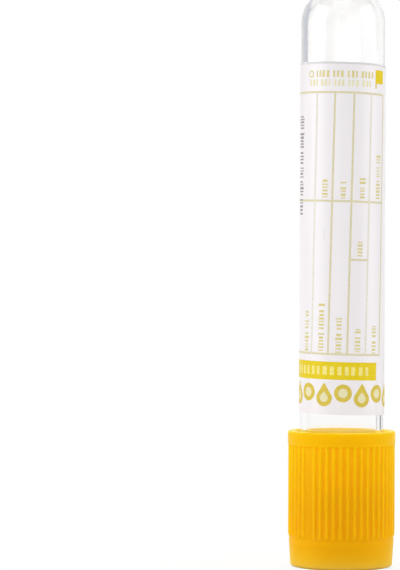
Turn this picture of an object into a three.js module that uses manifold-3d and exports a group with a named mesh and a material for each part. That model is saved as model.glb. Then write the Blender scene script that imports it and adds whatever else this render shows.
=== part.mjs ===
// Evacuated blood collection tube, nominal 16 x 100 mm, standing head down on its closure.
//
// A clear round-ended plastic tube holds a plug of separator gel in its dome and wears a wrapped film
// label. A rubber stopper seals its mouth: a flange covers the rim, a hollow plug enters the bore, and a
// dished boss faces the needle. A ribbed plastic cap carries the stopper and skirts the tube's mouth.
//
// Millimetres, +Z up. The cap's flat face stands on z = 0, centred on the origin, so z also tells how far
// a point lies behind that face. The tube's dome points up. Directions are degrees round Z from +X.

import * as THREE from 'three';
import { mergeVertices } from 'three/addons/utils/BufferGeometryUtils.js';
import Module from 'manifold-3d';

const wasm = await Module();
wasm.setup();

// ---- Driving dimensions ----

const FACETS = 48; // flats round a turned surface

// Tube
const TUBE_DIAMETER = 15.5;
const TUBE_WALL = 1.1;
const TUBE_LENGTH = 100; // mouth to the top of the dome
const TUBE_LIP = 0.3; // rounding of the mouth's edges

// Separator gel
const GEL_DEPTH = 15.7; // on the axis, from the dome to the middle of the gel's surface
const GEL_MENISCUS = 0.9; // how far the gel creeps along the wall past its middle
const GEL_GAP = 0.05; // round the gel

// Label
const LABEL_THICKNESS = 0.1;
const LABEL_GAP = 0.08; // between the tube and the label
const LABEL_TO_CAP = 3.3; // bare tube between the cap's rim and the label
const LABEL_TO_DOME = 7.65; // bare straight tube between the label and the dome
const LABEL_WRAP = 300; // degrees of the tube that the label covers
const LABEL_DIRECTION = -110; // middle of the label

// Stopper
const FLANGE_OVERHANG = 0.35; // flange beyond the tube's outside
const FLANGE_HEIGHT = 6.3;
const FLANGE_EDGE = 0.5;
const PLUG_LENGTH = 8.7;
const PLUG_GAP = 0.1; // between the sealing rings and the tube's bore
const PLUG_LEAD_LENGTH = 0.9; // chamfer that leads the plug into the bore
const PLUG_LEAD_DEPTH = 0.45;
const SEAL_RING_COUNT = 2;
const SEAL_RING_RISE = 0.16; // rings above the plug's side
const SEAL_RING_HEIGHT = 1.2;
const CAVITY_RADIUS = 3.6; // hollow in the plug, at its open end
const CAVITY_DRAFT = 0.25;
const CAVITY_CORNER = 0.8; // rounding of the hollow's closed end
const SEPTUM = 3.2; // rubber that the needle pierces
const BOSS_RECESS = 0.8; // boss behind the cap's face
const BOSS_GAP = 0.2; // between the boss and the hole in the cap
const BOSS_LIP = 0.35; // radius of the boss's rounded lip
const DISH_FLOOR_RADIUS = 3.2;
const DISH_FLOOR_SAG = 0.5;

// Cap
const FACE_THICKNESS = 1.6;
const FACE_EDGE = 0.6;
const HOLE_RADIUS = 4.9;
const HOLE_EDGE = 0.4;
const FACE_BAND_HEIGHT = 5.8; // smooth band between the face and the ribs
const FACE_BAND_DRAFT = 0.18; // that band narrows by this much towards the face
const SEAT_GAP = 0.2; // on either side of the stopper's flange
const POCKET_GAP = 0.15; // round the stopper's flange
const BEAD_GAP = 0.2; // between the tube and the bead that holds the stopper
const BEAD_HOLD = 0.3; // slope of the bead on the stopper's side
const BEAD_LAND = 0.35;
const BEAD_LEAD_IN = 0.45; // slope of the bead on the open side
const SKIRT_STEP = 0.35; // skirt's bore beyond the stopper's pocket
const SKIRT_WALL = 1.05; // between the ribs
const SKIRT_COVER = 16.8; // skirt past the tube's mouth
const SKIRT_LEAD_IN = 0.4; // chamfer inside the open rim
const RIM_BAND_HEIGHT = 2.6;
const RIM_BAND_RISE = 0.33; // rim band above the wall between the ribs
const RIM_EDGE = 0.35;
const RIM_BAND_SLOPE = 0.2; // height over which the wall steps out to the rim band

// Ribs raised on the cap's side, evenly spaced, with one left out after each group as a smooth panel
const RIB_GROUPS = 3;
const RIBS_PER_GROUP = 15;
const RIB_RISE = 0.23;
const RIB_WIDTH = 0.86;
const PANEL_DIRECTION = -131.4; // middle of the first smooth panel

// Fins inside the skirt that centre the tube
const FIN_COUNT = 6;
const FIN_WIDTH = 0.8;
const FIN_GAP = 0.25; // between a fin and the tube
const FIN_TO_RIM = 4.7; // a fin stops this far inside the open rim
const FIN_ROOT = 0.4; // a fin reaches this far into the skirt's wall

// ---- Sizes and places that follow from them ----

const tubeRadius = TUBE_DIAMETER / 2;
const boreRadius = tubeRadius - TUBE_WALL;
const flangeRadius = tubeRadius + FLANGE_OVERHANG;
const flangeStartZ = FACE_THICKNESS + SEAT_GAP;
const flangeEndZ = flangeStartZ + FLANGE_HEIGHT;
const mouthZ = flangeEndZ + SEAT_GAP;
const domeCentreZ = mouthZ + TUBE_LENGTH - tubeRadius;
const capHeight = mouthZ + SKIRT_COVER;
const pocketRadius = flangeRadius + POCKET_GAP;
const skirtBore = pocketRadius + SKIRT_STEP;
const wallRadius = skirtBore + SKIRT_WALL;
const rimBandZ = capHeight - RIM_BAND_HEIGHT;
const beadStartZ = flangeEndZ + SEAT_GAP / 2;
const beadEndZ = beadStartZ + BEAD_HOLD + BEAD_LAND + BEAD_LEAD_IN;

// ---- Shape helpers ----

const { degToRad, radToDeg } = THREE.MathUtils;

// A point of a profile: distance from the axis, and height.
function at(radius, z) {
  return new THREE.Vector2(radius, z);
}

// Points of an arc in a profile, both ends included. Degrees, 0 outwards and 90 up.
function arc(centreRadius, centreZ, size, from, to, steps) {
  const clockwise = to < from;
  const curve = new THREE.EllipseCurve(
    centreRadius, centreZ, size, size, degToRad(from), degToRad(to), clockwise,
  );
  return curve.getPoints(steps);
}

// Points of a shallow round dish from the axis outwards, highest in the middle.
function dish(radius, sag, middleZ, steps) {
  const sphere = (radius ** 2 + sag ** 2) / (2 * sag);
  return arc(0, middleZ - sphere, sphere, 90, radToDeg(Math.acos(radius / sphere)), steps);
}

// A solid turned about Z. Its profile runs up on the outside and down on the inside.
function turned(profile, firstFlat = 0) {
  const lathe = new THREE.LatheGeometry(profile, FACETS);
  return lathe.rotateX(Math.PI / 2).rotateZ(degToRad(firstFlat));
}

// A closed geometry as a solid that can be joined and cut.
function toSolid(geometry) {
  const bare = geometry.clone();
  bare.deleteAttribute('normal');
  bare.deleteAttribute('uv');
  const merged = mergeVertices(bare);
  return new wasm.Manifold(new wasm.Mesh({
    numProp: 3,
    vertProperties: merged.getAttribute('position').array,
    triVerts: new Uint32Array(merged.index.array),
  }));
}

// A joined or cut solid as a geometry again.
function toGeometry(solid) {
  const mesh = solid.getMesh();
  const geometry = new THREE.BufferGeometry();
  geometry.setAttribute('position', new THREE.BufferAttribute(mesh.vertProperties, 3));
  geometry.setIndex(new THREE.BufferAttribute(mesh.triVerts, 1));
  geometry.computeVertexNormals();
  return geometry;
}

// ---- Sub-parts ----

// One moulded tube: open mouth at the bottom, hemispherical dome at the top.
function tubeGeometry() {
  const lip = Math.min(TUBE_LIP, TUBE_WALL / 3);
  return turned([
    ...arc(0, domeCentreZ, boreRadius, 90, 0, 9),
    ...arc(boreRadius + lip, mouthZ + lip, lip, 180, 270, 2),
    ...arc(tubeRadius - lip, mouthZ + lip, lip, 270, 360, 2),
    ...arc(0, domeCentreZ, tubeRadius, 0, 90, 9),
  ]);
}

// The gel fills the dome. Its surface faces the mouth and creeps along the wall.
function gelGeometry() {
  const gelRadius = boreRadius - GEL_GAP;
  const middleZ = domeCentreZ + boreRadius - GEL_DEPTH;
  return turned([
    ...dish(gelRadius, GEL_MENISCUS, middleZ, 5),
    ...arc(0, domeCentreZ, gelRadius, 0, 90, 9),
  ]);
}

// Film wrapped round the straight of the tube, with a strip left bare for seeing the contents.
function labelGeometry() {
  const inner = tubeRadius + LABEL_GAP;
  const half = degToRad(LABEL_WRAP / 2);
  const startZ = capHeight + LABEL_TO_CAP;
  const endZ = domeCentreZ - LABEL_TO_DOME;
  const outline = new THREE.Shape();
  outline.absarc(0, 0, inner + LABEL_THICKNESS, -half, half, false);
  outline.absarc(0, 0, inner, half, -half, true);
  outline.closePath();
  const sheet = new THREE.ExtrudeGeometry(outline, {
    depth: endZ - startZ,
    bevelEnabled: false,
    curveSegments: 30,
  });
  return sheet.translate(0, 0, startZ).rotateZ(degToRad(LABEL_DIRECTION));
}

// Profile of one sealing ring that stands on the plug's side.
function sealRing(plugRadius, ringRadius, middleZ) {
  return [
    at(plugRadius, middleZ - SEAL_RING_HEIGHT / 2),
    at(ringRadius, middleZ - SEAL_RING_HEIGHT / 6),
    at(ringRadius, middleZ + SEAL_RING_HEIGHT / 6),
    at(plugRadius, middleZ + SEAL_RING_HEIGHT / 2),
  ];
}

// One rubber moulding: dished boss, flange over the tube's rim, hollow plug with sealing rings.
function stopperGeometry() {
  const bossRadius = HOLE_RADIUS - BOSS_GAP;
  const ringRadius = boreRadius - PLUG_GAP;
  const plugRadius = ringRadius - SEAL_RING_RISE;
  const plugEndZ = flangeEndZ + PLUG_LENGTH;
  const leadStartZ = plugEndZ - PLUG_LEAD_LENGTH;
  const cavityEndRadius = CAVITY_RADIUS - CAVITY_DRAFT;
  const lipMiddle = at(bossRadius - BOSS_LIP, BOSS_RECESS + BOSS_LIP);
  const flangeSide = flangeRadius - FLANGE_EDGE;
  const rings = [];
  for (let ring = 1; ring <= SEAL_RING_COUNT; ring += 1) {
    const middleZ = THREE.MathUtils.lerp(flangeEndZ, leadStartZ, ring / (SEAL_RING_COUNT + 1));
    rings.push(...sealRing(plugRadius, ringRadius, middleZ));
  }
  return turned([
    ...dish(DISH_FLOOR_RADIUS, DISH_FLOOR_SAG, flangeEndZ - SEPTUM, 3),
    ...arc(lipMiddle.x, lipMiddle.y, BOSS_LIP, 180, 360, 4),
    at(bossRadius, flangeStartZ),
    ...arc(flangeSide, flangeStartZ + FLANGE_EDGE, FLANGE_EDGE, 270, 360, 3),
    ...arc(flangeSide, flangeEndZ - FLANGE_EDGE, FLANGE_EDGE, 0, 90, 3),
    at(plugRadius, flangeEndZ),
    ...rings,
    at(plugRadius, leadStartZ),
    at(plugRadius - PLUG_LEAD_DEPTH, plugEndZ),
    at(CAVITY_RADIUS, plugEndZ),
    ...arc(cavityEndRadius - CAVITY_CORNER, flangeEndZ + CAVITY_CORNER, CAVITY_CORNER, 0, -90, 3),
    at(0, flangeEndZ),
  ]);
}

// The turned body of the cap, without its ribs and fins.
function capBodyGeometry() {
  const faceSide = wallRadius - FACE_BAND_DRAFT - FACE_EDGE;
  const rimRadius = wallRadius + RIM_BAND_RISE;
  const beadRadius = tubeRadius + BEAD_GAP;
  return turned([
    ...arc(HOLE_RADIUS + HOLE_EDGE, HOLE_EDGE, HOLE_EDGE, 180, 270, 3),
    ...arc(faceSide, FACE_EDGE, FACE_EDGE, 270, 360, 3),
    at(wallRadius, FACE_BAND_HEIGHT),
    at(wallRadius, rimBandZ),
    at(rimRadius, rimBandZ + RIM_BAND_SLOPE),
    ...arc(rimRadius - RIM_EDGE, capHeight - RIM_EDGE, RIM_EDGE, 0, 90, 3),
    at(skirtBore + SKIRT_LEAD_IN, capHeight),
    at(skirtBore, capHeight - SKIRT_LEAD_IN),
    at(skirtBore, beadEndZ),
    at(beadRadius, beadEndZ - BEAD_LEAD_IN),
    at(beadRadius, beadStartZ + BEAD_HOLD),
    at(pocketRadius, beadStartZ),
    at(pocketRadius, FACE_THICKNESS),
    at(HOLE_RADIUS, FACE_THICKNESS),
    at(HOLE_RADIUS, HOLE_EDGE),
  ], PANEL_DIRECTION);
}

// One round-backed rib on the cap's side, from the smooth band by the face into the rim band.
function rib(direction) {
  const section = new THREE.Shape();
  section.absellipse(wallRadius, 0, RIB_RISE, RIB_WIDTH / 2, 0, 2 * Math.PI);
  const bar = new THREE.ExtrudeGeometry(section, {
    depth: rimBandZ + RIM_BAND_SLOPE - FACE_BAND_HEIGHT,
    bevelEnabled: false,
    curveSegments: 5,
  });
  return toSolid(bar.translate(0, 0, FACE_BAND_HEIGHT).rotateZ(degToRad(direction)));
}

// One fin inside the skirt, rooted in its wall.
function fin(direction) {
  const inner = tubeRadius + FIN_GAP;
  const outer = skirtBore + FIN_ROOT;
  const endZ = capHeight - FIN_TO_RIM;
  const blade = new THREE.BoxGeometry(outer - inner, FIN_WIDTH, endZ - beadEndZ);
  blade.translate((inner + outer) / 2, 0, (beadEndZ + endZ) / 2);
  return toSolid(blade.rotateZ(degToRad(direction)));
}

// One moulded cap: pierced face, pocket and bead for the stopper, ribbed skirt with fins inside.
function capGeometry() {
  const groupAngle = 360 / RIB_GROUPS;
  const pitch = groupAngle / (RIBS_PER_GROUP + 1);
  let cap = toSolid(capBodyGeometry());
  for (let group = 0; group < RIB_GROUPS; group += 1) {
    for (let count = 1; count <= RIBS_PER_GROUP; count += 1) {
      cap = cap.add(rib(PANEL_DIRECTION + group * groupAngle + count * pitch));
    }
  }
  for (let count = 0; count < FIN_COUNT; count += 1) {
    cap = cap.add(fin(PANEL_DIRECTION + (count * 360) / FIN_COUNT));
  }
  return toGeometry(cap);
}

// ---- The assembly ----

const finishes = {
  tube: { color: '#f3f5f8', roughness: 0.05, metalness: 0, transparent: true, opacity: 0.35 },
  gel: { color: '#f0eee6', roughness: 0.3, metalness: 0, transparent: true, opacity: 0.75 },
  label: { color: '#f2eef0', roughness: 0.35, metalness: 0 },
  stopper: { color: '#c41e26', roughness: 0.6, metalness: 0 },
  cap: { color: '#f2b205', roughness: 0.35, metalness: 0 },
};

// One named mesh with the finish of that name.
function piece(name, geometry) {
  const mesh = new THREE.Mesh(geometry, new THREE.MeshStandardMaterial(finishes[name]));
  mesh.name = name;
  return mesh;
}

const filledTube = new THREE.Group();
filledTube.add(
  piece('tube', tubeGeometry()),
  piece('gel', gelGeometry()),
  piece('label', labelGeometry()),
);

const closure = new THREE.Group();
closure.add(
  piece('stopper', stopperGeometry()),
  piece('cap', capGeometry()),
);

const bloodTube = new THREE.Group();
bloodTube.add(filledTube, closure);

export default bloodTube;
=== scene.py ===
import math

import bmesh
import bpy
import numpy as np
from mathutils import Matrix, Vector


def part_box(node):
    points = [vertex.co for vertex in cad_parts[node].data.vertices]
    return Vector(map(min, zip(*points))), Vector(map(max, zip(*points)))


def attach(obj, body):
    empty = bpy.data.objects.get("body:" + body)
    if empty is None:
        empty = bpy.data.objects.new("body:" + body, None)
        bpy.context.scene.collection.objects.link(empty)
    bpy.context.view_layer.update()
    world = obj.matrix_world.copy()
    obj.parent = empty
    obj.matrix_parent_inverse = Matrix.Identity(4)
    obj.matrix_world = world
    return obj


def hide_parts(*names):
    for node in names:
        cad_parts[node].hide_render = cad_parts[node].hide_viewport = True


# A clear blood collection tube with a printed label, standing on its ribbed yellow cap.
# Sizes are in millimetres and directions in degrees round +Z from +X. MM turns sizes into metres.

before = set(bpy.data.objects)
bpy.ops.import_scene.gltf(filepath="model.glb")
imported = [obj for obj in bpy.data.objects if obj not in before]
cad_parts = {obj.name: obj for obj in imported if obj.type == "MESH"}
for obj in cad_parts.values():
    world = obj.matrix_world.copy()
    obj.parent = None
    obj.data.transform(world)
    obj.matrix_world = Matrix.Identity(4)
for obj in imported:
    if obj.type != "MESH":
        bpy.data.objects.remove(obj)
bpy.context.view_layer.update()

MM = 0.001

# ---- Sizes that the outsides of the CAD nodes don't give ----

TUBE_WALL = 1.1
TUBE_LIP = 0.3
GEL_GAP = 0.05
GEL_MENISCUS = 0.9
GEL_EDGE = 0.15  # rounding of the gel's rim
LABEL_OFF_TUBE = 0.012
LABEL_EDGE = 0.03  # rounding of the film's cut edges
LABEL_SKEW = 1.45  # the film went on slightly askew
LABEL_ROWS = 60  # in the film's mesh, along the tube
LABEL_COLUMNS = 180  # and round it
INK_LIFT = 0.012  # the ink off the film

RIB_PLACES = 48  # round the cap
RIB_GROUPS = 3  # each group of ribs ends in one bare place
COLUMNS_PER_RIB = 16  # in the cap's mesh
PANEL_DIRECTION = -131.4
RIB_FALL = 0.08  # the ribs' crests inside the rim band
WALL_FALL = 0.33  # the wall between the ribs inside the rim band
RIB_FOOT = 5.5  # where the ribs' rounded ends start
RIB_ROUND = 0.9  # height over which a rib's end rounds up
RIB_SHARPNESS = 1.35
RIM_BAND_HEIGHT = 2.6
RIM_EDGE = 0.35
FACE_EDGE = 0.6
FACE_DRAFT = 0.18  # the smooth foot narrows by this much towards the face
FACE_MIDDLE = 7.0  # a radius between the hole and the edge of the face
FACE_THICKNESS = 1.6
FOOT_RISE = 0.1  # the smooth foot stands over the wall between the ribs
FOOT_TOP = 5.0
HOLE_RADIUS = 4.9
HOLE_EDGE = 0.3
SKIRT_BORE = 8.6
SKIRT_LEAD_IN = 0.45  # slope inside the open rim
POCKET_RADIUS = 8.25
POCKET_CORNER = 0.2
BEAD_RADIUS = 7.95
BEAD_START = 8.2
BEAD_END = 9.3
FIN_COUNT = 6
FIN_WIDTH = 0.8
FIN_GAP = 0.25
FIN_TO_RIM = 4.7
FIN_END_ROUND = 0.5  # height over which a fin's end rounds off

BOSS_RADIUS = 4.7
BOSS_LIP = 0.35
BOSS_ROOT = 0.15  # hollow rounding between the boss and the flange
DISH_FLOOR_RADIUS = 3.2
DISH_FLOOR_SAG = 0.5
SEPTUM = 3.2
FLANGE_HEIGHT = 6.3
FLANGE_START = 1.8
FLANGE_EDGE = 0.5
PLUG_RADIUS = 6.39
PLUG_ROOT = 0.2  # hollow rounding between the flange and the plug
PLUG_END_EDGE = 0.15
SEAL_RINGS = 2
SEAL_RING_RISE = 0.16
SEAL_RING_HEIGHT = 1.2
SEAL_RING_STEPS = 12
PLUG_LEAD = 0.9
PLUG_LEAD_DEPTH = 0.45
CAVITY_RADIUS = 3.6
CAVITY_DRAFT = 0.25
CAVITY_CORNER = 0.8
CAVITY_MOUTH_EDGE = 0.2

# ---- Places from the frame ----


def span(node):
    """Lowest and highest z of a CAD node."""
    low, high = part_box(node)
    return low.z / MM, high.z / MM


def reach(node):
    """Largest distance of a CAD node from the axis."""
    return max(math.hypot(v.co.x, v.co.y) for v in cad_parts[node].data.vertices) / MM


def facing(node):
    """Direction that a wrapped CAD node faces, opposite its open side."""
    points = [v.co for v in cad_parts[node].data.vertices]
    return math.degrees(math.atan2(sum(p.y for p in points), sum(p.x for p in points)))


def wrap(node):
    """Degrees that a wrapped CAD node covers, from its facing direction to both sides."""
    middle = math.radians(facing(node))
    turns = []
    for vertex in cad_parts[node].data.vertices:
        turn = math.atan2(vertex.co.y, vertex.co.x) - middle
        turns.append(math.degrees(math.atan2(math.sin(turn), math.cos(turn))))
    return max(turns) - min(turns)


mouth_z, dome_top = span("tube")
tube_radius = reach("tube")
bore_radius = tube_radius - TUBE_WALL
dome_z = dome_top - tube_radius
cap_height = span("cap")[1]
rim_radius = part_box("cap")[1].x / MM  # inside the corners of the facetted CAD rim
label_low, label_high = span("label")
label_radius = reach("label")
label_middle = (label_low + label_high) / 2
label_half = (label_high - label_low) / 2

# ---- Camera ----

CAMERA_PLACE = Vector((-26.385, -477.0, 53.96))
CAMERA_LENS = 162.3  # on a 36 mm sensor
CAMERA_PITCH = -0.235
CAMERA_ROLL = 0.216

camera_data = bpy.data.cameras.new("camera")
camera_data.lens = CAMERA_LENS
camera_data.clip_start = 0.01
camera_data.clip_end = 20
camera = bpy.data.objects.new("camera", camera_data)
bpy.context.scene.collection.objects.link(camera)
looking = Matrix.Rotation(math.radians(90 + CAMERA_PITCH), 4, "X")
rolled = Matrix.Rotation(math.radians(CAMERA_ROLL), 4, "Z")
camera.matrix_world = Matrix.Translation(CAMERA_PLACE * MM) @ looking @ rolled
bpy.context.scene.camera = camera

# The print is set out from the direction that faces the camera.
print_direction = math.degrees(math.atan2(CAMERA_PLACE.y, CAMERA_PLACE.x))

# ---- Mesh helpers ----


def arc(centre_radius, centre_z, size, start, end, steps):
    """Profile points (distance from the axis, z) along an arc. 0 degrees is outwards and 90 up."""
    turns = np.radians(np.linspace(start, end, steps + 1))
    return [(centre_radius + size * math.cos(t), centre_z + size * math.sin(t)) for t in turns]


def dish(radius, sag, middle_z, steps):
    """Profile points of a shallow round dish from the axis outwards, highest in the middle."""
    sphere = (radius**2 + sag**2) / (2 * sag)
    edge = math.degrees(math.acos(radius / sphere))
    return arc(0, middle_z - sphere, sphere, 90, edge, steps)


def refined(profile, step):
    """The same profile with extra points, so that none are further apart than step."""
    points = [profile[0]]
    for (r0, z0), (r1, z1) in zip(profile, profile[1:]):
        pieces = max(1, math.ceil(math.hypot(r1 - r0, z1 - z0) / step))
        for k in range(1, pieces + 1):
            share = k / pieces
            points.append((r0 + (r1 - r0) * share, z0 + (z1 - z0) * share))
    return points


def new_object(name, vertices, faces, smooth_angle=None):
    """A mesh object from points in millimetres."""
    mesh = bpy.data.meshes.new(name)
    mesh.from_pydata([Vector(v) * MM for v in vertices], [], faces)
    body = bmesh.new()
    body.from_mesh(mesh)
    bmesh.ops.remove_doubles(body, verts=body.verts, dist=1e-4 * MM)
    if smooth_angle is not None:
        bmesh.ops.recalc_face_normals(body, faces=body.faces)
    body.to_mesh(mesh)
    body.free()
    mesh.shade_smooth()
    if smooth_angle is not None:
        mesh.set_sharp_from_angle(angle=math.radians(smooth_angle))
    made = bpy.data.objects.new(name, mesh)
    bpy.context.scene.collection.objects.link(made)
    return made


def turned(name, profile, columns, reshape=None, smooth_angle=35):
    """A solid turned about Z. reshape(direction, radius, z) may change a point's radius."""
    directions = [360 * k / columns for k in range(columns)]
    vertices = []
    for direction in directions:
        angle = math.radians(direction)
        for radius, z in profile:
            if reshape:
                radius = reshape(direction, radius, z)
            vertices.append((radius * math.cos(angle), radius * math.sin(angle), z))
    rows = len(profile)
    faces = []
    for column in range(columns):
        here = column * rows
        beyond = (column + 1) % columns * rows
        for row in range(rows - 1):
            faces.append((here + row, beyond + row, beyond + row + 1, here + row + 1))
        if profile[0][0] > 0:  # a profile off the axis closes on itself
            faces.append((here + rows - 1, beyond + rows - 1, beyond, here))
    return new_object(name, vertices, faces, smooth_angle)


def smoothstep(value, low, high):
    """Rises smoothly from 0 at low to 1 at high. low may be the larger one."""
    share = min(max((value - low) / (high - low), 0), 1)
    return share * share * (3 - 2 * share)


# ---- Material helpers ----

NOISE_LOW, NOISE_HIGH = 0.3, 0.7  # most of a noise texture's values lie between these


class Finish:
    """A node material with one Principled shader. Textures run in the object's own metres."""

    def __init__(self, name, **sockets):
        self.material = bpy.data.materials.new(name)
        self.material.use_nodes = True
        self.nodes = self.material.node_tree.nodes
        self.shader = self.nodes["Principled BSDF"]
        self.output = self.nodes["Material Output"]
        self.place = self.nodes.new("ShaderNodeTexCoord").outputs["Object"]
        for socket, value in sockets.items():
            self.shader.inputs[socket.replace("_", " ")].default_value = value

    def link(self, source, target):
        self.material.node_tree.links.new(source, target)

    def noise(self, scale, detail=3, stretch=(1, 1, 1)):
        """A noise value from 0 to 1. stretch squeezes the pattern along X, Y and Z."""
        mapping = self.nodes.new("ShaderNodeMapping")
        mapping.inputs["Scale"].default_value = stretch
        texture = self.nodes.new("ShaderNodeTexNoise")
        texture.inputs["Scale"].default_value = scale
        texture.inputs["Detail"].default_value = detail
        self.link(self.place, mapping.inputs["Vector"])
        self.link(mapping.outputs["Vector"], texture.inputs["Vector"])
        return texture.outputs["Fac"]

    def ranged(self, value, low, high):
        """A noise value spread over low to high."""
        spread = self.nodes.new("ShaderNodeMapRange")
        spread.inputs["From Min"].default_value = NOISE_LOW
        spread.inputs["From Max"].default_value = NOISE_HIGH
        spread.inputs["To Min"].default_value = low
        spread.inputs["To Max"].default_value = high
        self.link(value, spread.inputs["Value"])
        return spread.outputs["Result"]

    def colours(self, value, first, second):
        """The surface's colour runs from first to second with a noise value."""
        ramp = self.nodes.new("ShaderNodeValToRGB")
        ramp.color_ramp.elements[0].position = NOISE_LOW
        ramp.color_ramp.elements[0].color = (*first, 1)
        ramp.color_ramp.elements[1].position = NOISE_HIGH
        ramp.color_ramp.elements[1].color = (*second, 1)
        self.link(value, ramp.inputs["Fac"])
        self.link(ramp.outputs["Color"], self.shader.inputs["Base Color"])

    def ramp(self, value, stops):
        """A colour ramp over stops of (value, colour), with values in the unit of value."""
        first, last = stops[0][0], stops[-1][0]
        spread = self.nodes.new("ShaderNodeMapRange")
        spread.inputs["From Min"].default_value = first
        spread.inputs["From Max"].default_value = last
        self.link(value, spread.inputs["Value"])
        ramp = self.nodes.new("ShaderNodeValToRGB")
        elements = ramp.color_ramp.elements
        elements[0].color = (*stops[0][1], 1)
        elements[1].color = (*stops[-1][1], 1)
        for place, colour in stops[1:-1]:
            elements.new((place - first) / (last - first)).color = (*colour, 1)
        self.link(spread.outputs["Result"], ramp.inputs["Fac"])
        return ramp.outputs["Color"]

    def from_axis(self):
        """Distance from the object's Z axis in metres."""
        flat = self.nodes.new("ShaderNodeVectorMath")
        flat.operation = "MULTIPLY"
        flat.inputs[1].default_value = (1, 1, 0)
        self.link(self.place, flat.inputs[0])
        length = self.nodes.new("ShaderNodeVectorMath")
        length.operation = "LENGTH"
        self.link(flat.outputs["Vector"], length.inputs[0])
        return length.outputs["Value"]

    def height(self):
        """Height in the object in metres."""
        split = self.nodes.new("ShaderNodeSeparateXYZ")
        self.link(self.place, split.inputs["Vector"])
        return split.outputs["Z"]

    def product(self, *colours):
        """The colours multiplied with one another."""
        made = colours[0]
        for colour in colours[1:]:
            node = self.nodes.new("ShaderNodeVectorMath")
            node.operation = "MULTIPLY"
            self.link(made, node.inputs[0])
            self.link(colour, node.inputs[1])
            made = node.outputs["Vector"]
        return made

    def coloured_over(self, below, share, colour):
        """The surface's colour is below, and the plain colour where share is 1."""
        mix = self.nodes.new("ShaderNodeMix")
        mix.data_type = "RGBA"
        fac, first, second = (
            next(socket for socket in mix.inputs if socket.identifier == name)
            for name in ("Factor_Float", "A_Color", "B_Color")
        )
        second.default_value = (*colour, 1)
        self.link(share, fac)
        self.link(below, first)
        made = next(socket for socket in mix.outputs if socket.identifier == "Result_Color")
        self.link(made, self.shader.inputs["Base Color"])

    def roughness(self, value, low, high):
        """The surface's roughness runs from low to high with a noise value."""
        self.link(self.ranged(value, low, high), self.shader.inputs["Roughness"])

    def bump(self, value, height):
        """value as relief of that height in millimetres."""
        node = self.nodes.new("ShaderNodeBump")
        node.inputs["Strength"].default_value = 1
        node.inputs["Distance"].default_value = height * MM
        self.link(value, node.inputs["Height"])
        self.link(node.outputs["Normal"], self.shader.inputs["Normal"])

    def let_lamps_through(self, part=1.0):
        """That part of the lamps' light reaches what is behind the material, without caustics."""
        path = self.nodes.new("ShaderNodeLightPath")
        passed = self.nodes.new("ShaderNodeMath")
        passed.operation = "MULTIPLY"
        passed.inputs[1].default_value = part
        clear = self.nodes.new("ShaderNodeBsdfTransparent")
        mix = self.nodes.new("ShaderNodeMixShader")
        self.link(path.outputs["Is Shadow Ray"], passed.inputs[0])
        self.link(passed.outputs["Value"], mix.inputs["Fac"])
        self.link(self.shader.outputs["BSDF"], mix.inputs[1])
        self.link(clear.outputs["BSDF"], mix.inputs[2])
        self.link(mix.outputs["Shader"], self.output.inputs["Surface"])


def scaled(colour, factor):
    """A colour made darker or lighter."""
    return tuple(channel * factor for channel in colour)


# ---- Materials ----

# The cap's colour carries painted light and shade. By distance from the axis, the grooves between the
# ribs hold painted shade and the crests a painted highlight, and the colour is yellower towards the
# axis, inside and on the face. By height, the foot turns yellower and pale towards the face, a painted
# reflection of the lit floor, the middle is deeper, and near the rim a painted glow makes it yellower.
CAP_INSIDE = (0.99, 0.49, 0.075)
# Painted shade for the grooves between the ribs and a painted highlight for their crests:
CAP_GROOVE_SHADED = (0.955, 0.464, 0.075)
CAP_CREST_LIT = (0.99, 0.509, 0.075)
CAP_RIM = (0.95, 0.485, 0.075)
# Painted light inside the mouth: a brighter colour and an emitted glow, for light through the plastic.
CAP_MOUTH_PAINTED_LIGHT = (1.0, 0.64, 0.08)
CAP_PAINTED_GLOW = (0.18, 0.115, 0.004)  # painted glow inside the mouth, standing in for light through the plastic
CAP_LETS_THROUGH = 0.35
BLACK = (0, 0, 0)
WHITE = (1, 1, 1)
cap_plastic = Finish(
    "cap_plastic", Specular_IOR_Level=0.05, Subsurface_Weight=0.7, Subsurface_Scale=0.003,
    Sheen_Weight=0.1, Sheen_Roughness=0.4, Sheen_Tint=(0.7, 1.0, 0.05, 1), Emission_Strength=1.0,
)
cap_plastic.shader.inputs["Subsurface Radius"].default_value = (0.8, 0.65, 0.1)
cap_colour_and_painted_light = cap_plastic.product(
    # Painted shade in the grooves and a painted highlight on the crests, by distance from the axis:
    cap_plastic.ramp(
        cap_plastic.from_axis(),
        [(8.7 * MM, CAP_INSIDE), (9.2 * MM, CAP_RIM), (9.66 * MM, CAP_GROOVE_SHADED),
         (9.88 * MM, CAP_CREST_LIT), (9.96 * MM, CAP_RIM)],
    ),
    # Painted light by height: a pale floor reflection on the foot and a yellower glow near the rim:
    cap_plastic.ramp(
        cap_plastic.height(),
        [(0, (1.05, 1.15, 0.3)), (0.3 * MM, (1.05, 1.18, 1)), (0.9 * MM, (1.06, 1.16, 0.4)),
         (2 * MM, (1.03, 1.06, 0.1)), (4 * MM, (1, 0.95, 0)), (8 * MM, (1, 0.90, 0)),
         (12 * MM, (1, 0.91, 0)), (17 * MM, (1, 0.99, 0)), (21 * MM, (1, 1.05, 0)),
         (cap_height * MM, (1, 1.08, 0))],
    ),
    cap_plastic.ramp(
        cap_plastic.noise(260, 4), [(NOISE_LOW, (0.98, 0.98, 1)), (NOISE_HIGH, WHITE)]
    ),
)
# Where the painted light inside the mouth falls:
near_the_mouth = cap_plastic.ramp(cap_plastic.height(), [(21 * MM, BLACK), (24 * MM, WHITE)])
painted_mouth_light_share, painted_mouth_glow = (
    cap_plastic.product(
        cap_plastic.ramp(cap_plastic.from_axis(), [(8.75 * MM, colour), (9.1 * MM, BLACK)]),
        near_the_mouth,
    )
    for colour in (WHITE, CAP_PAINTED_GLOW)
)
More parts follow.
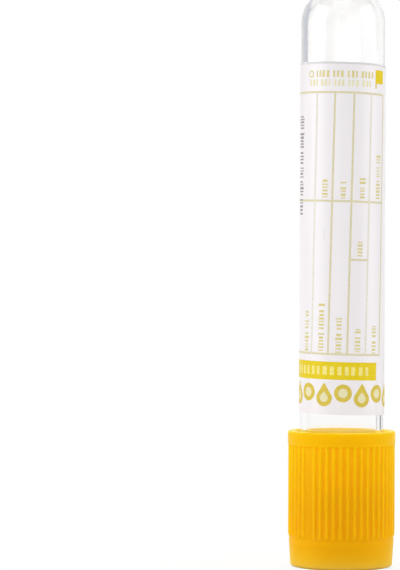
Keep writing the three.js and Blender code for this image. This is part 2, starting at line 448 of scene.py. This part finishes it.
# The painted mouth light goes over the colour, and its painted glow into the emission:
cap_plastic.coloured_over(cap_colour_and_painted_light, painted_mouth_light_share, CAP_MOUTH_PAINTED_LIGHT)
cap_plastic.link(painted_mouth_glow, cap_plastic.shader.inputs["Emission Color"])
cap_plastic.roughness(cap_plastic.noise(900, 4), 0.34, 0.46)
cap_plastic.bump(cap_plastic.noise(4200, 5), 0.006)
cap_plastic.let_lamps_through(CAP_LETS_THROUGH)

RUBBER_RED = (0.50, 0.026, 0.032)
rubber = Finish("stopper_rubber", Specular_IOR_Level=0.35)
rubber.colours(rubber.noise(420, 4), scaled(RUBBER_RED, 0.88), scaled(RUBBER_RED, 1.08))
rubber.roughness(rubber.noise(1500, 4), 0.48, 0.66)
rubber.bump(rubber.noise(3600, 6), 0.012)

clear_plastic = Finish("clear_plastic", IOR=1.57, Transmission_Weight=1.0)
clear_plastic.colours(
    clear_plastic.noise(60, 2, (1, 1, 0.2)), (0.976, 0.974, 0.968), (0.986, 0.984, 0.978)
)
clear_plastic.roughness(clear_plastic.noise(700, 3), 0.0, 0.02)
clear_plastic.bump(clear_plastic.noise(140, 2, (1, 1, 0.15)), 0.004)
clear_plastic.let_lamps_through()

soft_gel = Finish("separator_gel", IOR=1.40, Transmission_Weight=0.97)
soft_gel.colours(soft_gel.noise(340, 4), (0.970, 0.966, 0.956), (0.990, 0.987, 0.979))
soft_gel.roughness(soft_gel.noise(500, 3), 0.30, 0.38)
soft_gel.bump(soft_gel.noise(420, 3), 0.03)
soft_gel.let_lamps_through()

LABEL_WHITE = (0.88, 0.845, 0.865)
FILM_LETS_THROUGH = 0.5
film = Finish("label_film", Specular_IOR_Level=0.75)
film.colours(film.noise(90, 3, (1, 1, 0.25)), scaled(LABEL_WHITE, 0.985), scaled(LABEL_WHITE, 1.015))
film.roughness(film.noise(160, 2, (1, 1, 0.3)), 0.27, 0.33)
film.bump(film.noise(110, 2, (1, 1, 0.2)), 0.004)
film.let_lamps_through(FILM_LETS_THROUGH)


def ink(name, colour):
    """Printing ink: matt, with slightly uneven cover."""
    made = Finish(name, Specular_IOR_Level=0.15)
    made.colours(made.noise(2600, 4), scaled(colour, 0.93), scaled(colour, 1.06))
    made.roughness(made.noise(1800, 3), 0.38, 0.5)
    return made


INKS = {
    "print_yellow": ink("ink_yellow", (0.81, 0.62, 0.012)),
    "print_letter_place": ink("ink_gold", (0.71, 0.55, 0.08)),
    "print_rules": ink("ink_rules", (0.73, 0.67, 0.43)),
    "print_faint_rules": ink("ink_faint", (0.80, 0.77, 0.66)),
    "print_small": ink("ink_small", (0.74, 0.65, 0.28)),
    "print_faint": ink("ink_faint_yellow", (0.83, 0.77, 0.48)),
    "print_pale_marks": ink("ink_pale", (0.93, 0.81, 0.24)),
    # painted shade along the film's cut upper edge, not print
    "painted_edge_shade": ink("ink_painted_edge_shade", (0.72, 0.70, 0.715)),
    "print_grey": ink("ink_grey", (0.34, 0.31, 0.30)),
}

# ---- Tube and gel ----

tube_profile = refined(
    [
        *arc(0, dome_z, bore_radius, 90, 0, 40),
        *arc(bore_radius + TUBE_LIP, mouth_z + TUBE_LIP, TUBE_LIP, 180, 270, 5),
        *arc(tube_radius - TUBE_LIP, mouth_z + TUBE_LIP, TUBE_LIP, 270, 360, 5),
        *arc(0, dome_z, tube_radius, 0, 90, 40),
    ],
    step=8,
)
tube = turned("clear_tube", tube_profile, 256, smooth_angle=180)
tube.data.materials.append(clear_plastic.material)
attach(tube, "tube")
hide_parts("tube")

gel_radius = bore_radius - GEL_GAP
gel_low = span("gel")[0]
gel_profile = refined(
    [
        *dish(gel_radius - 2 * GEL_EDGE, GEL_MENISCUS - 0.25, gel_low + GEL_MENISCUS, 16),
        *arc(gel_radius - GEL_EDGE, gel_low + 0.1, GEL_EDGE, 200, 360, 6),
        *arc(0, dome_z, gel_radius, 0, 90, 40),
    ],
    step=6,
)
gel = turned("separator_gel", gel_profile, 192, smooth_angle=60)
gel.data.materials.append(soft_gel.material)
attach(gel, "tube")
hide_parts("gel")

# ---- Label ----


def on_label(across, up, lift):
    """A point of the label: millimetres to the right of the print's middle and above it."""
    skew = math.radians(LABEL_SKEW)
    around = across * math.cos(skew) + up * math.sin(skew)
    z = label_middle + up * math.cos(skew) - across * math.sin(skew)
    angle = math.radians(print_direction) + around / label_radius
    radius = label_radius + lift
    return (radius * math.cos(angle), radius * math.sin(angle), z)


def label_sheet():
    """The film as one closed thin sheet with softened edges, wrapped round the tube."""
    inner_lift = tube_radius + LABEL_OFF_TUBE - label_radius
    half_width = math.radians(wrap("label") / 2) * label_radius
    middle = math.radians(facing("label") - print_direction) * label_radius
    heights = np.linspace(-label_half + LABEL_EDGE, label_half - LABEL_EDGE, LABEL_ROWS)
    section = [(h, 0) for h in heights]
    section += [(label_half, -LABEL_EDGE), (label_half, inner_lift)]
    section += [(h, inner_lift) for h in heights[::-1]]
    section += [(-label_half, inner_lift), (-label_half, -LABEL_EDGE)]
    columns = np.linspace(middle - half_width, middle + half_width, LABEL_COLUMNS)
    vertices = [on_label(a, up, lift) for a in columns for up, lift in section]
    size = len(section)
    faces = []
    for column in range(len(columns) - 1):
        here, beyond = column * size, (column + 1) * size
        for k in range(size):
            after = (k + 1) % size
            faces.append((here + k, beyond + k, beyond + after, here + after))
    # Both ends of the wrap are closed by quads between the outer and the inner side.
    last = (len(columns) - 1) * size
    rows = len(heights)
    for k in range(rows - 1):
        opposite = 2 * rows + 1 - k
        for start in (0, last):
            faces.append((start + k, start + k + 1, start + opposite - 1, start + opposite))
    for start in (0, last):
        faces.append((start + rows - 1, start + rows, start + rows + 1, start + rows + 2))
        faces.append((start + 2 * rows + 1, start + 2 * rows + 2, start + 2 * rows + 3, start))
    return new_object("label_film", vertices, faces, 35)


label = label_sheet()
label.data.materials.append(film.material)
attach(label, "tube")
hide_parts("label")

# ---- Print: plain generic shapes where the real label has words and a name ----

INK_STEP = 0.5  # longest printed face round the tube, so that it bends with the film
INK_RUN = 2.0  # longest printed face along the tube
RULE_WIDTH = 0.36
COLUMN_RULES = (-5.65, -2.07, 1.48, 5.06, 8.75)
TABLE_LEFT = -13.0
TABLE_TOP = 26.66
TABLE_MIDDLE = 6.8
TABLE_BOTTOM = -21.18
SHORT_RULE = -3.85
# width of the painted shade line along the film's upper edge
FILM_EDGE_SHADE_WIDTH = 0.36
DROP_SHOULDER = 0.55  # how far a drop's sides draw in towards its tip

printed = {name: [] for name in INKS}


def block(sheet, left, low, right, high):
    """A printed rectangle."""
    sides = np.linspace(left, right, 1 + max(1, math.ceil((right - left) / INK_STEP)))
    levels = np.linspace(low, high, 1 + max(1, math.ceil((high - low) / INK_RUN)))
    for start, end in zip(sides, sides[1:]):
        for under, over in zip(levels, levels[1:]):
            printed[sheet].append([(start, under), (end, under), (end, over), (start, over)])


def upright(sheet, across, low, high, width=RULE_WIDTH):
    """A printed line along the tube."""
    block(sheet, across - width / 2, low, across + width / 2, high)


def level(sheet, up, left, right, width=RULE_WIDTH):
    """A printed line round the tube."""
    block(sheet, left, up - width / 2, right, up + width / 2)


def round_outline(across, up, radius, tip=None):
    """Points round a circle, or round a drop whose tip lies that far over the circle's middle."""
    points = []
    for turn in np.linspace(-math.pi / 2, 1.5 * math.pi, 36, endpoint=False):
        rise = max(math.sin(turn), 0) ** 2 if tip else 0
        side = radius * (1 - DROP_SHOULDER * rise) * math.cos(turn)
        lift = (radius + ((tip or radius) - radius) * rise) * math.sin(turn)
        points.append((across + side, up + lift))
    return points


def drawn_round(sheet, across, up, radius, line, tip=None):
    """A circle or a drop drawn in a line of that width. Gives the outline of its inside."""
    outer = round_outline(across, up, radius + line / 2, tip and tip + line)
    inner = round_outline(across, up, radius - line / 2, tip and tip - line)
    for k in range(len(outer)):
        printed[sheet].append([outer[k - 1], outer[k], inner[k], inner[k - 1]])
    return inner


def filled(sheet, outline):
    """The inside of an outline, printed in faces that bend with the film."""
    rungs = [np.linspace(outline[-k], outline[k], 5) for k in range(1, len(outline) // 2)]
    for under, over in zip(rungs, rungs[1:]):
        for k in range(4):
            corners = (under[k], under[k + 1], over[k + 1], over[k])
            printed[sheet].append([tuple(corner) for corner in corners])


def tick_places(start, end, groups, ticks, gaps, group_gap, rng):
    """Place and thickness of each tick from start to end. Pairs give a least and a largest length."""
    at = start
    while at < end:
        group_end = min(at + rng.uniform(*groups), end)
        while at < group_end:
            thick = rng.uniform(*ticks)
            yield at, thick
            at += thick + rng.uniform(*gaps)
        at += group_gap


def ticks_up(sheet, across, low, high, width, rng):
    """A column of short bars across the print, in uneven groups, running up the tube."""
    for at, thick in tick_places(low, high, (1.6, 3.6), (0.18, 0.46), (0.22, 0.34), 0.45, rng):
        half = width / 2 * rng.uniform(0.65, 1)
        block(sheet, across - half, at, across + half, at + thick)


def ticks_across(sheet, low, high, left, right, rng):
    """A row of short upright bars in uneven groups."""
    for at, thick in tick_places(left, right, (1.4, 3.0), (0.28, 0.5), (0.28, 0.42), 0.4, rng):
        block(sheet, at, low, at + thick, high)


rng = np.random.default_rng(5)

for across in COLUMN_RULES:
    faint = across in (COLUMN_RULES[0], COLUMN_RULES[3])
    upright("print_faint_rules" if faint else "print_rules", across, TABLE_BOTTOM, TABLE_TOP)
for up in (TABLE_TOP, TABLE_MIDDLE, TABLE_BOTTOM):
    level("print_rules", up, TABLE_LEFT, COLUMN_RULES[-1] + RULE_WIDTH / 2)
level("print_rules", SHORT_RULE, COLUMN_RULES[2], COLUMN_RULES[3])

# Columns of ticks where the fields are named: (middle, lowest, highest), running up the tube.
FIELD_PLACES = (
    (-7.1, -20.8, -13.7),
    (-3.55, -20.7, -12.4),
    (-0.15, -20.9, -14.1),
    (3.4, -20.7, -16.3),
    (7.0, -20.9, -15.7),
    (-3.55, 7.4, 10.3),
    (-0.1, 7.3, 10.1),
    (3.55, 7.4, 11.0),
    (7.35, 7.5, 15.6),
    (3.4, -3.2, 0.0),
)
for across, low, high in FIELD_PLACES:
    ticks_up("print_small", across, low, high, 1.3, rng)
ticks_up("print_grey", -10.3, 4.2, 22.6, 2.2, rng)

# Painted shade: grey ink along the film's cut upper edge stands in for the shade there.
level("painted_edge_shade", label_half - 0.22, -12.5, 10.8, FILM_EDGE_SHADE_WIDTH)

# Head of the label: two rows of ticks, a small round mark and a solid block with its stem.
drawn_round("print_small", -7.2, 30.0, radius=0.55, line=0.24)
ticks_across("print_small", 29.4, 30.65, -5.9, 5.4, rng)
ticks_across("print_faint", 27.8, 29.0, -7.5, 5.2, rng)
block("print_yellow", 6.0, 28.6, 8.6, 31.1)
upright("print_letter_place", 6.18, 27.7, 28.6)

# Foot of the label: a solid band with pale marks, and a row of drops and rings under it.
BAND_LEFT, BAND_LOW, BAND_RIGHT, BAND_HIGH = -14.0, -25.86, 7.85, -22.59
block("print_yellow", BAND_LEFT, BAND_LOW, BAND_RIGHT, BAND_HIGH)
BAND_MARK_INSET = 0.85  # between the marks and the band's long edges
at = BAND_LEFT + 1.2
while at < BAND_RIGHT - 1.4:
    wide = rng.uniform(0.5, 0.9)
    block("print_pale_marks", at, BAND_LOW + BAND_MARK_INSET, at + wide, BAND_HIGH - BAND_MARK_INSET)
    at += wide + rng.uniform(0.45, 0.7)
MARK_LINE = 0.78
MARK_PITCH = 3.6
MIDDLE_MARK = 0.95
for place in range(-3, 4):
    across = MIDDLE_MARK + place * MARK_PITCH
    if place % 2:
        inside = drawn_round("print_letter_place", across, -29.2, radius=1.2, line=MARK_LINE, tip=1.9)
    else:
        inside = drawn_round("print_letter_place", across, -28.3, radius=1.25, line=MARK_LINE)
    filled("print_faint", inside)

for sheet, shapes in printed.items():
    # The pale marks lie on the band, and all other ink lies on the film.
    lift = INK_LIFT * (2 if sheet == "print_pale_marks" else 1)
    vertices = []
    faces = []
    for corners in shapes:
        faces.append(tuple(range(len(vertices), len(vertices) + len(corners))))
        vertices += [on_label(across, up, lift) for across, up in corners]
    piece = new_object(sheet, vertices, faces)
    piece.data.materials.append(INKS[sheet].material)
    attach(piece, "tube")

# ---- Stopper ----

plug_end = span("stopper")[1]
boss_face = span("stopper")[0]
flange_radius = reach("stopper")
flange_end = FLANGE_START + FLANGE_HEIGHT
lead_start = plug_end - PLUG_LEAD

seal_rings = []
for count in range(1, SEAL_RINGS + 1):
    middle = flange_end + (lead_start - flange_end) * count / (SEAL_RINGS + 1)
    for step in range(SEAL_RING_STEPS + 1):
        share = step / SEAL_RING_STEPS
        rise = SEAL_RING_RISE * math.sin(math.pi * share) ** 1.5
        seal_rings.append((PLUG_RADIUS + rise, middle + SEAL_RING_HEIGHT * (share - 0.5)))

cavity_end_radius = CAVITY_RADIUS - CAVITY_DRAFT
plug_end_radius = PLUG_RADIUS - PLUG_LEAD_DEPTH - PLUG_END_EDGE
flange_side = flange_radius - FLANGE_EDGE
stopper_profile = refined(
    [
        *dish(DISH_FLOOR_RADIUS, DISH_FLOOR_SAG, flange_end - SEPTUM, 12),
        *arc(BOSS_RADIUS - BOSS_LIP, boss_face + BOSS_LIP, BOSS_LIP, 180, 360, 12),
        (BOSS_RADIUS, FLANGE_START - BOSS_ROOT),
        *arc(BOSS_RADIUS + BOSS_ROOT, FLANGE_START - BOSS_ROOT, BOSS_ROOT, 180, 90, 3),
        *arc(flange_side, FLANGE_START + FLANGE_EDGE, FLANGE_EDGE, 270, 360, 8),
        *arc(flange_side, flange_end - FLANGE_EDGE, FLANGE_EDGE, 0, 90, 8),
        (PLUG_RADIUS + PLUG_ROOT, flange_end),
        *arc(PLUG_RADIUS + PLUG_ROOT, flange_end + PLUG_ROOT, PLUG_ROOT, 270, 180, 4),
        *seal_rings,
        (PLUG_RADIUS, lead_start),
        *arc(plug_end_radius, plug_end - PLUG_END_EDGE, PLUG_END_EDGE, 20, 90, 4),
        *arc(CAVITY_RADIUS + CAVITY_MOUTH_EDGE, plug_end - CAVITY_MOUTH_EDGE, CAVITY_MOUTH_EDGE, 90, 180, 5),
        *arc(cavity_end_radius - CAVITY_CORNER, flange_end + CAVITY_CORNER, CAVITY_CORNER, 0, -90, 8),
        (0, flange_end),
    ],
    step=1,
)
stopper = turned("rubber_stopper", stopper_profile, 160)
stopper.data.materials.append(rubber.material)
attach(stopper, "stopper")
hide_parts("stopper")

# ---- Cap ----

wall_radius = rim_radius - WALL_FALL
rib_rise = WALL_FALL - RIB_FALL
rim_band_z = cap_height - RIM_BAND_HEIGHT
places_per_group = RIB_PLACES // RIB_GROUPS
fin_radius = tube_radius + FIN_GAP
fin_end = cap_height - FIN_TO_RIM
fin_half = FIN_WIDTH / 2


def rib_share(direction):
    """Height of the ribs at a direction, from 0 in a groove or on a panel to 1 on a crest."""
    place = (direction - PANEL_DIRECTION) / 360 * RIB_PLACES
    nearest = round(place)
    if nearest % places_per_group == 0:
        return 0
    return (0.5 + 0.5 * math.cos(2 * math.pi * (place - nearest))) ** RIB_SHARPNESS


def fin_share(direction):
    """1 where a fin stands inside the skirt, and 0 between the fins."""
    turn = (direction - PANEL_DIRECTION) * FIN_COUNT / 360
    off = abs(turn - round(turn)) * 360 / FIN_COUNT
    distance = math.radians(off) * fin_radius
    return 1 - smoothstep(distance, fin_half - 0.04, fin_half + 0.04)


def cap_reshape(direction, radius, z):
    """Raises the ribs on the skirt's outside and the fins on its inside."""
    outside = radius > SKIRT_BORE + 0.2 and RIB_FOOT < z < rim_band_z + 0.15
    if outside:
        foot = min((z - RIB_FOOT) / RIB_ROUND, 1)
        rounded = math.sqrt(1 - (1 - foot) ** 2)
        crest = wall_radius + rib_rise * rounded * rib_share(direction)
        return max(radius, crest)
    inside = abs(radius - SKIRT_BORE) < 0.01 and BEAD_END < z < fin_end
    if inside:
        rounded = smoothstep(z, fin_end, fin_end - FIN_END_ROUND)
        return radius - (SKIRT_BORE - fin_radius) * fin_share(direction) * rounded
    return radius


face_and_foot = [
    *arc(HOLE_RADIUS + HOLE_EDGE, HOLE_EDGE, HOLE_EDGE, 180, 270, 5),
    (FACE_MIDDLE, 0),
    *arc(wall_radius - FACE_DRAFT - FACE_EDGE, FACE_EDGE, FACE_EDGE, 270, 360, 8),
    (wall_radius + FOOT_RISE * 0.5 - FACE_DRAFT * 0.5, FOOT_TOP * 0.6),
    (wall_radius + FOOT_RISE, FOOT_TOP),
    (wall_radius + FOOT_RISE * 0.9, FOOT_TOP + 0.15),
]
ribbed_wall = [
    *[(wall_radius, RIB_FOOT + RIB_ROUND * k / 10) for k in range(11)],
    (wall_radius, 14.0),
    (wall_radius, rim_band_z - 0.1),
]
rim_band = [
    (wall_radius + 0.01, rim_band_z),
    (wall_radius + 0.08, rim_band_z + 0.05),
    (rim_radius - 0.06, rim_band_z + 0.12),
    (rim_radius, rim_band_z + 0.22),
    *arc(rim_radius - RIM_EDGE, cap_height - RIM_EDGE, RIM_EDGE, 0, 90, 8),
]
skirt_inside = [
    (SKIRT_BORE + SKIRT_LEAD_IN, cap_height),
    (SKIRT_BORE + 0.3, cap_height - 0.08),
    (SKIRT_BORE, cap_height - SKIRT_LEAD_IN),
    (SKIRT_BORE, fin_end + 0.02),
    (SKIRT_BORE, fin_end - 0.1),
    (SKIRT_BORE, fin_end - 0.25),
    (SKIRT_BORE, fin_end - FIN_END_ROUND),
    (SKIRT_BORE, BEAD_END + 0.02),
]
bead = [
    (SKIRT_BORE, BEAD_END),
    (BEAD_RADIUS + 0.1, BEAD_END - 0.38),
    (BEAD_RADIUS, BEAD_END - 0.5),
    (BEAD_RADIUS, BEAD_START + 0.35),
    (BEAD_RADIUS + 0.08, BEAD_START + 0.22),
    (POCKET_RADIUS, BEAD_START),
]
pocket_and_hole = [
    (POCKET_RADIUS, FACE_THICKNESS + POCKET_CORNER),
    *arc(POCKET_RADIUS - POCKET_CORNER, FACE_THICKNESS + POCKET_CORNER, POCKET_CORNER, 0, -90, 3),
    (HOLE_RADIUS + 0.05, FACE_THICKNESS),
    (HOLE_RADIUS, FACE_THICKNESS - 0.05),
]
cap_profile = [*face_and_foot, *ribbed_wall, *rim_band, *skirt_inside, *bead, *pocket_and_hole]
cap = turned("ribbed_cap", cap_profile, RIB_PLACES * COLUMNS_PER_RIB, cap_reshape, smooth_angle=50)
cap.data.materials.append(cap_plastic.material)
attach(cap, "cap")
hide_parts("cap")

# ---- Floor, world and lamps ----

AMBIENT = 0.46
FLOOR_SIZE = 6.0  # metres
FLOOR_DROP = 0.05  # millimetres under the cap's face
PAPER_GREY = 0.88
SHADOW_SHARE = 0.15  # how much of the lit paper, with its shadows, shows near the tube
SHADOW_NEAR = 0.05  # metres from the tube, where that share starts to fall
SHADOW_FAR = 0.30  # where only plain white is left


def background_rays(nodes, links):
    """1 for rays that see the background directly, by mirror reflection or through glass."""
    path = nodes.new("ShaderNodeLightPath")
    first = nodes.new("ShaderNodeMath")
    first.operation = "MAXIMUM"
    links.new(path.outputs["Is Camera Ray"], first.inputs[0])
    links.new(path.outputs["Is Glossy Ray"], first.inputs[1])
    second = nodes.new("ShaderNodeMath")
    second.operation = "MAXIMUM"
    links.new(first.outputs["Value"], second.inputs[0])
    links.new(path.outputs["Is Transmission Ray"], second.inputs[1])
    return second.outputs["Value"]


world = bpy.data.worlds.new("studio")
world.use_nodes = True
bpy.context.scene.world = world
nodes, links = world.node_tree.nodes, world.node_tree.links
ambient = nodes["Background"]
ambient.inputs["Color"].default_value = (1, 1, 1, 1)
ambient.inputs["Strength"].default_value = AMBIENT
white = nodes.new("ShaderNodeBackground")
white.inputs["Color"].default_value = (1, 1, 1, 1)
mix = nodes.new("ShaderNodeMixShader")
links.new(background_rays(nodes, links), mix.inputs["Fac"])
links.new(ambient.outputs["Background"], mix.inputs[1])
links.new(white.outputs["Background"], mix.inputs[2])
links.new(mix.outputs["Shader"], nodes["World Output"].inputs["Surface"])

bpy.ops.mesh.primitive_grid_add(x_subdivisions=12, y_subdivisions=12, size=FLOOR_SIZE)
floor = bpy.context.object
floor.name = "floor"
floor.location.z = -FLOOR_DROP * MM
floor_material = bpy.data.materials.new("floor_paper")
floor_material.use_nodes = True
nodes, links = floor_material.node_tree.nodes, floor_material.node_tree.links
nodes.remove(nodes["Principled BSDF"])
paper = nodes.new("ShaderNodeBsdfDiffuse")
paper.inputs["Color"].default_value = (PAPER_GREY, PAPER_GREY, PAPER_GREY, 1)
glow = nodes.new("ShaderNodeEmission")
place = nodes.new("ShaderNodeTexCoord")
distance = nodes.new("ShaderNodeVectorMath")
distance.operation = "LENGTH"
fade = nodes.new("ShaderNodeMapRange")
fade.interpolation_type = "SMOOTHSTEP"
fade.inputs["From Min"].default_value = SHADOW_NEAR
fade.inputs["From Max"].default_value = SHADOW_FAR
fade.inputs["To Min"].default_value = 1 - SHADOW_SHARE
fade.inputs["To Max"].default_value = 1
share = nodes.new("ShaderNodeMath")
share.operation = "MULTIPLY"
mix = nodes.new("ShaderNodeMixShader")
links.new(place.outputs["Object"], distance.inputs[0])
links.new(distance.outputs["Value"], fade.inputs["Value"])
links.new(fade.outputs["Result"], share.inputs[0])
links.new(background_rays(nodes, links), share.inputs[1])
links.new(share.outputs["Value"], mix.inputs["Fac"])
links.new(paper.outputs["BSDF"], mix.inputs[1])
links.new(glow.outputs["Emission"], mix.inputs[2])
links.new(mix.outputs["Shader"], nodes["Material Output"].inputs["Surface"])
floor.data.materials.append(floor_material)

# A ring on the paper round the edge of the cap's face, as the cap's contact shadow. It can't be seen
# itself, but it keeps the paper's light off the cap's lowest edge.
CONTACT_REACH = 0.2  # how far the ring comes out from under the cap
CONTACT_LOW, CONTACT_HIGH = -0.04, -0.02  # between the paper and the cap's face
CONTACT_COLOUR = (0.3, 0.25, 0.25)
contact_inside = wall_radius - FACE_DRAFT - FACE_EDGE
contact_outside = wall_radius - FACE_DRAFT + CONTACT_REACH
contact_profile = [
    (contact_inside, CONTACT_LOW),
    (contact_outside, CONTACT_LOW),
    (contact_outside, CONTACT_HIGH),
    (contact_inside, CONTACT_HIGH),
]
contact_shadow = turned("contact_shadow", contact_profile, 96)
contact_paper = Finish("contact_shadow", Base_Color=(*CONTACT_COLOUR, 1))
contact_shadow.data.materials.append(contact_paper.material)
contact_shadow.visible_camera = False
contact_shadow.visible_glossy = False
contact_shadow.visible_transmission = False
contact_shadow.visible_shadow = False

LAMP_AIM = Vector((0, 0, 52))


def aim(thing, place):
    """Puts thing at place, in millimetres, with its face towards the middle of the tube."""
    turn = (LAMP_AIM - Vector(place)).to_track_quat("-Z", "Y").to_matrix().to_4x4()
    thing.matrix_world = Matrix.Translation(Vector(place) * MM) @ turn


def softbox(name, place, width, height, power):
    """A lamp of that size in millimetres, which neither the camera nor the clear plastic shows."""
    data = bpy.data.lights.new(name, "AREA")
    data.shape = "RECTANGLE"
    data.size = width * MM
    data.size_y = height * MM
    data.energy = power
    lamp = bpy.data.objects.new(name, data)
    bpy.context.scene.collection.objects.link(lamp)
    aim(lamp, place)
    lamp.visible_camera = False
    lamp.visible_transmission = False


softbox("softbox_left", (-480, -130, 190), 420, 560, 1.15)
softbox("softbox_right", (480, -120, 190), 420, 560, 0.95)
softbox("softbox_top", (-40, -260, 600), 460, 460, 0.7)
softbox("softbox_front", (-60, -700, 75), 420, 130, 0.31)
softbox("softbox_back", (0, 420, 330), 420, 300, 1.9)


def card(name, place, width, height, grey, through_clear=True):
    """A grey card that only shows in reflections and, unless told not to, through clear plastic."""
    half_x, half_y = width / 2, height / 2
    corners = [(-half_x, -half_y, 0), (half_x, -half_y, 0), (half_x, half_y, 0), (-half_x, half_y, 0)]
    made = new_object(name, corners, [(0, 1, 2, 3)])
    material = bpy.data.materials.new(name)
    material.use_nodes = True
    nodes = material.node_tree.nodes
    nodes.remove(nodes["Principled BSDF"])
    glow = nodes.new("ShaderNodeEmission")
    glow.inputs["Color"].default_value = (*grey, 1)
    material.node_tree.links.new(glow.outputs["Emission"], nodes["Material Output"].inputs["Surface"])
    made.data.materials.append(material)
    aim(made, place)
    made.visible_camera = False
    made.visible_diffuse = False
    made.visible_shadow = False
    made.visible_transmission = through_clear


card("card_front", (-40, -760, 60), 240, 700, (0, 0, 0), through_clear=False)
card("card_left", (-190, 350, 185), 260, 190, (0.66, 0.66, 0.70))
card("card_left_deep", (-290, 270, 175), 70, 170, (0.46, 0.50, 0.58))
card("card_right", (110, 395, 185), 100, 190, (0.80, 0.80, 0.81))
card("card_low", (221, 315, 5), 64, 60, (0.0, 0.0, 0.0))

# ---- View ----

bpy.context.scene.view_settings.view_transform = "Standard"
